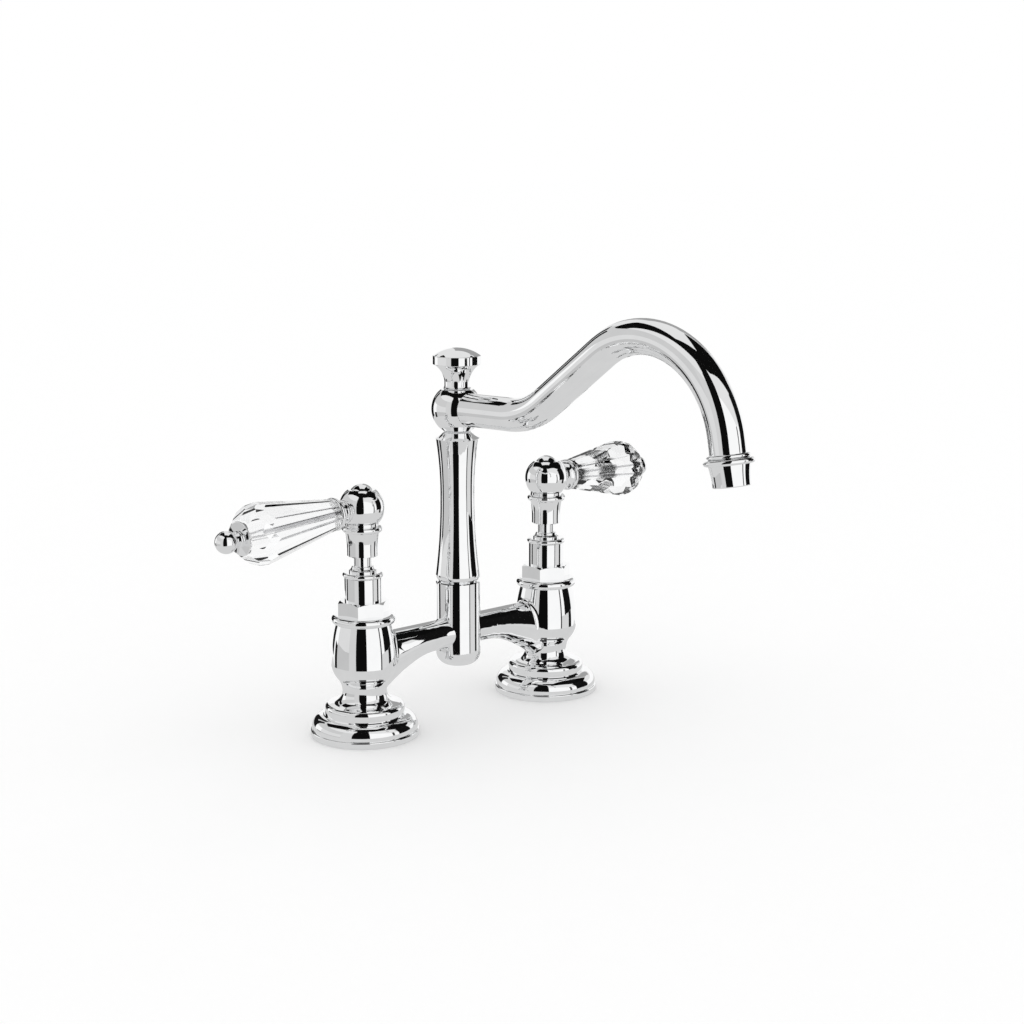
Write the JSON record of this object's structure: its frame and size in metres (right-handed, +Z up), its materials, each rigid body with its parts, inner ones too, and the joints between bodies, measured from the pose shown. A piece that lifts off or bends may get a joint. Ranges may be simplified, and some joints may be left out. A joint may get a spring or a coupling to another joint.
{
  "type": "bridge kitchen faucet",
  "caption": "Chrome bridge kitchen faucet: pillars on stepped flanges, an arched arm to a centre column, a swan-neck swivel spout and faceted crystal levers.",
  "frame": {"origin": "on the deck, midway between the axes of the inlets", "axes": "+X along the bridge from the left pillar to the right one, -Y the way the spout points, +Z up"},
  "size_m": [0.3636, 0.2763, 0.2639],
  "materials": {
    "chrome": "polished plating on brass",
    "crystal": "cut and polished",
    "clear_plastic": "clear",
    "bare_brass": "turned",
    "steel": "turned",
    "ceramic": "lapped ceramic",
    "seal_rubber": "matt",
    "slip_plastic": "satin",
    "fibre": "pressed fibre"
  },
  "bodies": {
    "body": {"left_deck_flange": "chrome", "left_flange_seal": "seal_rubber", "left_pillar_body": "chrome", "left_seat_washer": "seal_rubber", "left_fixed_disc": "ceramic", "left_thrust_washer": "slip_plastic", "left_valve_bonnet": "chrome", "left_bonnet_seal": "fibre", "left_shroud_sleeve": "chrome", "left_gland_nut": "chrome", "right_deck_flange": "chrome", "right_flange_seal": "seal_rubber", "right_pillar_body": "chrome", "right_seat_washer": "seal_rubber", "right_fixed_disc": "ceramic", "right_thrust_washer": "slip_plastic", "right_valve_bonnet": "chrome", "right_bonnet_seal": "fibre", "right_shroud_sleeve": "chrome", "right_gland_nut": "chrome", "arm_o_rings": "seal_rubber", "bridge_body": "chrome", "centre_column": "chrome", "column_seal": "seal_rubber", "swivel_post": "bare_brass", "swivel_o_rings": "seal_rubber", "swivel_bush": "slip_plastic", "finial_washer": "slip_plastic", "finial": "chrome"},
    "left_handle": {"left_valve_spindle": "chrome", "left_spindle_o_rings": "seal_rubber", "left_moving_disc": "ceramic", "left_handle_hub": "chrome", "left_handle_screw": "steel", "left_hub_cap": "chrome", "left_grub_screw": "steel", "left_lever_ferrule": "chrome", "left_crystal_washer": "clear_plastic", "left_crystal_lever": "crystal", "left_end_washer": "chrome", "left_tie_rod": "steel", "left_end_ball": "chrome"},
    "right_handle": {"right_valve_spindle": "chrome", "right_spindle_o_rings": "seal_rubber", "right_moving_disc": "ceramic", "right_handle_hub": "chrome", "right_handle_screw": "steel", "right_hub_cap": "chrome", "right_grub_screw": "steel", "right_lever_ferrule": "chrome", "right_crystal_washer": "clear_plastic", "right_crystal_lever": "crystal", "right_end_washer": "chrome", "right_tie_rod": "steel", "right_end_ball": "chrome"},
    "spout": {"spout_hub": "chrome", "spout_tube": "chrome", "nozzle_housing": "chrome", "aerator_washer": "seal_rubber", "aerator_insert": "slip_plastic"}
  },
  "joints": [
    {"name": "left_handle_turn", "type": "hinge", "parent": "body", "child": "left_handle", "pos_m": [-0.075, 0, 0.1], "axis": [0, 0, 1], "range_deg": [0, 90]},
    {"name": "right_handle_turn", "type": "hinge", "parent": "body", "child": "right_handle", "pos_m": [0.075, 0, 0.1], "axis": [0, 0, 1], "range_deg": [-90, 0]},
    {"name": "spout_swivel", "type": "hinge", "parent": "body", "child": "spout", "pos_m": [0, 0, 0.19], "axis": [0, 0, 1], "continuous": true}
  ]
}
